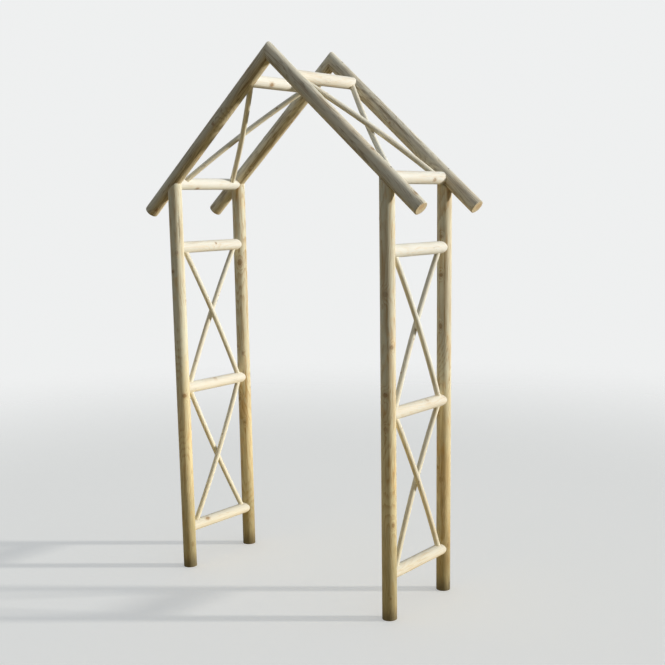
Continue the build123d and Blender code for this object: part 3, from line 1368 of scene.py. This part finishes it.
@dataclass(frozen=True)
class Studio:
    """The plain floor, the soft light and the camera."""

    floor_radius: float = 9.0
    floor_clear_radius: float = 2.4
    floor_gone_share: float = 0.8
    floor_sectors: int = 96
    floor_colour: Colour = (0.8, 0.8, 0.79)
    floor_roughness: float = 0.9
    floor_shine: float = 0.1
    floor_glow: float = 0.36
    near_bounce: Colour = (0.9, 0.7, 0.33)
    far_bounce: Colour = (0.1, 0.075, 0.03)
    near_radius: float = 0.7
    far_radius: float = 1.7
    backdrop: Colour = (0.86, 0.87, 0.87)
    sky_above: Colour = (0.4, 0.43, 0.46)
    sky_left: Colour = (0.145, 0.17, 0.185)
    sky_right: Colour = (0.085, 0.062, 0.022)
    sky_turn: tuple[float, float] = (-0.5, 1.2)
    sky_rise: tuple[float, float] = (0.05, 1.0)
    key_azimuth: float = math.radians(35.0)
    key_elevation: float = math.radians(10.0)
    key_strength: float = 3.05
    key_colour: Colour = (1.0, 0.965, 0.89)
    key_softness: float = math.radians(2.6)
    camera_place: tuple[float, float, float] = (3.0515, -3.8040, 1.7706)
    camera_yaw: float = math.radians(-37.43)
    camera_pitch: float = math.radians(10.55)
    camera_roll: float = math.radians(0.92)
    focal_length_px: float = 1062.92
    centre_below_middle_px: float = 67.5
    frame_px: float = 665.0
    sensor_mm: float = 36.0

    def build(self) -> None:
        """Makes all of it."""
        self.make_floor()
        self.make_world()
        self.make_key()
        self.make_camera()
        bpy.context.scene.view_settings.view_transform = "Standard"

    def make_floor(self) -> None:
        """Makes a pale round floor that fades into the backdrop."""
        turns = [2 * math.pi * k / self.floor_sectors for k in range(self.floor_sectors)]
        points = [
            (self.floor_radius * math.cos(turn), self.floor_radius * math.sin(turn), 0.0) for turn in turns]
        mesh = bpy.data.meshes.new("floor")
        mesh.from_pydata(points, [], [tuple(range(self.floor_sectors))])
        floor = add_object("floor", mesh)
        graph = Shading("pale_floor")
        spot = graph.get("ShaderNodeTexCoord", {}, "Object")
        distance = graph.vector("LENGTH", spot * Vector((1.0, 1.0, 0.0)))
        gone = self.floor_radius * self.floor_gone_share
        bounce = graph.ramp(distance, self.near_radius, self.far_radius)
        bounce = graph.blend(bounce, self.near_bounce, self.far_bounce)
        seen = self.seen(graph)
        mesh.materials.append(graph.shade({
            "Base Color": graph.blend(seen, bounce, self.floor_colour), "Roughness": self.floor_roughness,
            "Specular IOR Level": self.floor_shine, "Emission Color": self.floor_colour,
            "Emission Strength": seen * self.floor_glow,
            "Alpha": graph.ramp(distance, self.floor_clear_radius, gone, 1.0, 0.0)}))

    def seen(self, graph: Graph) -> Field:
        """1 for what the camera sees, straight or by a mirror or glass, and 0 for light on things."""
        path = graph.add("ShaderNodeLightPath")
        straight, mirrored, through = (
            graph.out(path, f"Is {kind} Ray") for kind in ("Camera", "Glossy", "Transmission"))
        return graph.maths("MAXIMUM", straight, graph.maths("MAXIMUM", mirrored, through))

    def make_world(self) -> None:
        """Makes a soft sky, bright above and warm to the front and right, behind a plain pale backdrop."""
        world = bpy.data.worlds.new("studio")
        bpy.context.scene.world = world
        world.use_nodes = True
        graph = Graph(world.node_tree)
        to_x, to_y, height = graph.get("ShaderNodeTexCoord", {}, "Generated").parts()
        level = graph.blend(graph.ramp(to_x - to_y, *self.sky_turn), self.sky_left, self.sky_right)
        sky = graph.blend(graph.ramp(height, *self.sky_rise), level, self.sky_above)
        colour = graph.blend(self.seen(graph), sky, self.backdrop)
        graph.feed(graph.tree.nodes["Background"].inputs["Color"], colour)

    def make_key(self) -> None:
        """Makes the warm key light from the right and the rear."""
        lamp = bpy.data.lights.new("key", "SUN")
        lamp.energy = self.key_strength
        lamp.color = self.key_colour
        lamp.angle = self.key_softness
        level = math.cos(self.key_elevation)
        towards = Vector((level * math.cos(self.key_azimuth), level * math.sin(self.key_azimuth),
                          math.sin(self.key_elevation)))
        add_object("key", lamp).rotation_euler = towards.to_track_quat("Z", "Y").to_euler()

    def make_camera(self) -> None:
        """Makes the camera at the photograph's place, angle and framing."""
        data = bpy.data.cameras.new("camera")
        data.sensor_width = self.sensor_mm
        data.lens = self.focal_length_px / self.frame_px * self.sensor_mm
        data.shift_y = self.centre_below_middle_px / self.frame_px
        yaw, pitch, roll = self.camera_yaw, self.camera_pitch, self.camera_roll
        forward = Vector((
            math.cos(pitch) * math.sin(yaw), math.cos(pitch) * math.cos(yaw), -math.sin(pitch)))
        level = Vector((math.cos(yaw), -math.sin(yaw), 0.0))
        down = forward.cross(level)
        right = level * math.cos(roll) + down * math.sin(roll)
        down = down * math.cos(roll) - level * math.sin(roll)
        camera = add_object("camera", data)
        turned = Matrix((right, -down, -forward)).transposed().to_4x4()
        camera.matrix_world = Matrix.Translation(self.camera_place) @ turned
        bpy.context.scene.camera = camera


def main() -> None:
    """Builds the arch from its frames and sides, and then the studio round it."""
    logging.basicConfig(level=logging.INFO, format="%(message)s")
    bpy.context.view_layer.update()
    sizes = ArchSizes()
    timberwork = Timberwork()
    Frame(sizes, End.FRONT).build(timberwork, count(10))
    Frame(sizes, End.REAR).build(timberwork, count(20))
    left_crossings = {"lower": End.REAR, "upper": End.FRONT, "roof": End.FRONT}
    right_crossings = {"lower": End.FRONT, "upper": End.FRONT, "roof": End.FRONT}
    SideWork(sizes, Side.LEFT, left_crossings).build(timberwork, count(30))
    SideWork(sizes, Side.RIGHT, right_crossings).build(timberwork, count(50))
    Fixings(sizes).build()
    Studio().build()


if __name__ == "__main__":
    main()
